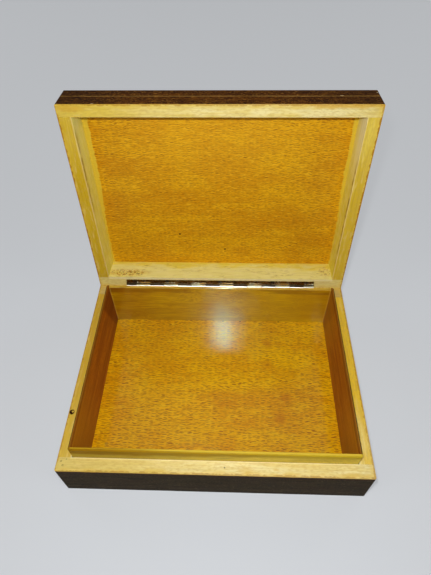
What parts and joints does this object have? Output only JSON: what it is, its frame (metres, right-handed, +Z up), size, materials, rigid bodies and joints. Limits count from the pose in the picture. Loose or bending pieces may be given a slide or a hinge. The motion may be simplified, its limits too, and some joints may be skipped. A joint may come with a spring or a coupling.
{
  "type": "hinged wooden box",
  "caption": "Low rectangular wooden box: rebated floor, proud thin lining, framed lid on a full-length piano hinge that stops just past upright.",
  "frame": {"origin": "centre of the base's underside", "axes": "+X to the right along the hinge, +Y to the hinge side at the back, +Z up; stored with the lid open on its stop"},
  "size_m": [0.22, 0.2077, 0.2055],
  "materials": {
    "stained_wall": "dark stain outside, bare rims, semi-gloss varnish",
    "stained_lid_rail": "dark brown stain outside, bare rims, semi-gloss varnish",
    "beech_panel": "golden semi-gloss varnish",
    "lining_strip": "golden-brown semi-gloss varnish",
    "nickel_hinge": "bright nickel plate"
  },
  "bodies": {
    "base": {"base_front_wall": "stained_wall", "base_back_wall": "stained_wall", "base_left_wall": "stained_wall", "base_right_wall": "stained_wall", "floor_panel": "beech_panel", "lining_front": "lining_strip", "lining_back": "lining_strip", "lining_left": "lining_strip", "lining_right": "lining_strip", "hinge_leaf_base": "nickel_hinge", "hinge_pin": "nickel_hinge", "hinge_screws_base": "nickel_hinge"},
    "lid": {"lid_rim_front": "stained_lid_rail", "lid_rim_back": "stained_lid_rail", "lid_rim_left": "stained_lid_rail", "lid_rim_right": "stained_lid_rail", "lid_top_front": "stained_lid_rail", "lid_top_back": "stained_lid_rail", "lid_top_left": "stained_lid_rail", "lid_top_right": "stained_lid_rail", "lid_panel": "beech_panel", "hinge_leaf_lid": "nickel_hinge", "hinge_screws_lid": "nickel_hinge"}
  },
  "joints": [
    {"name": "lid_hinge", "type": "hinge", "parent": "base", "child": "lid", "pos_m": [0, 0.084, 0.03715], "axis": [1, 0, 0], "range_deg": [0, 95]}
  ]
}
